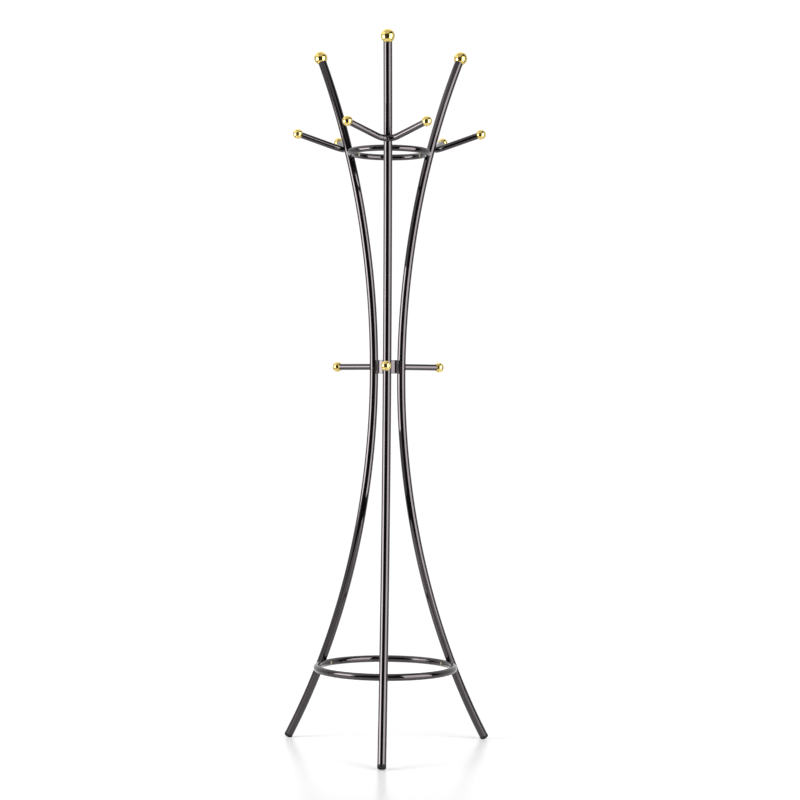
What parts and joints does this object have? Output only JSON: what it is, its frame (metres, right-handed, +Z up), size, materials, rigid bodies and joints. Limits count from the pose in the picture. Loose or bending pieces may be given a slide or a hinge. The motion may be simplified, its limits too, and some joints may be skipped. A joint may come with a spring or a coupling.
{
  "type": "coat stand",
  "caption": "Free-standing metal coat stand: curved tube legs joined by two rings and a waist band, with V-shaped hook arms, straight pegs and a ball on every free end.",
  "frame": {"origin": "on the stand's vertical axis, midway between the three feet, at floor level", "axes": "+Z up along the stand's axis; the front leg stands towards -Y; the other two legs stand 30 degrees behind +X and -X"},
  "size_m": [0.5364, 0.5125, 1.8001],
  "materials": {
    "black_nickel": "glossy black nickel plating on steel tube",
    "brass": "polished",
    "rubber": "matte",
    "zinc_steel": "zinc plated"
  },
  "bodies": {
    "root": {"upper_leg_front": "black_nickel", "upper_leg_left": "black_nickel", "upper_leg_right": "black_nickel", "lower_leg_front": "black_nickel", "lower_leg_left": "black_nickel", "lower_leg_right": "black_nickel", "joint_sleeve_front": "zinc_steel", "joint_sleeve_left": "zinc_steel", "joint_sleeve_right": "zinc_steel", "foot_cap_front": "rubber", "foot_cap_left": "rubber", "foot_cap_right": "rubber", "top_ring": "black_nickel", "bottom_ring": "black_nickel", "waist_band": "black_nickel", "top_ball_front": "brass", "top_ball_left": "brass", "top_ball_right": "brass", "top_ball_studs": "zinc_steel", "hook_arm_front": "black_nickel", "hook_arm_left": "black_nickel", "hook_arm_right": "black_nickel", "hook_ball_front_left": "brass", "hook_ball_front_right": "brass", "hook_ball_left_rear": "brass", "hook_ball_left_front": "brass", "hook_ball_right_front": "brass", "hook_ball_right_rear": "brass", "peg_front": "black_nickel", "peg_left": "black_nickel", "peg_right": "black_nickel", "peg_ball_front": "brass", "peg_ball_left": "brass", "peg_ball_right": "brass", "peg_studs": "zinc_steel", "peg_nuts": "zinc_steel", "small_ball_studs": "zinc_steel", "top_ring_screws": "zinc_steel", "bottom_ring_screws": "zinc_steel", "hook_arm_screws": "black_nickel", "leg_bushes": "zinc_steel"}
  },
  "joints": []
}
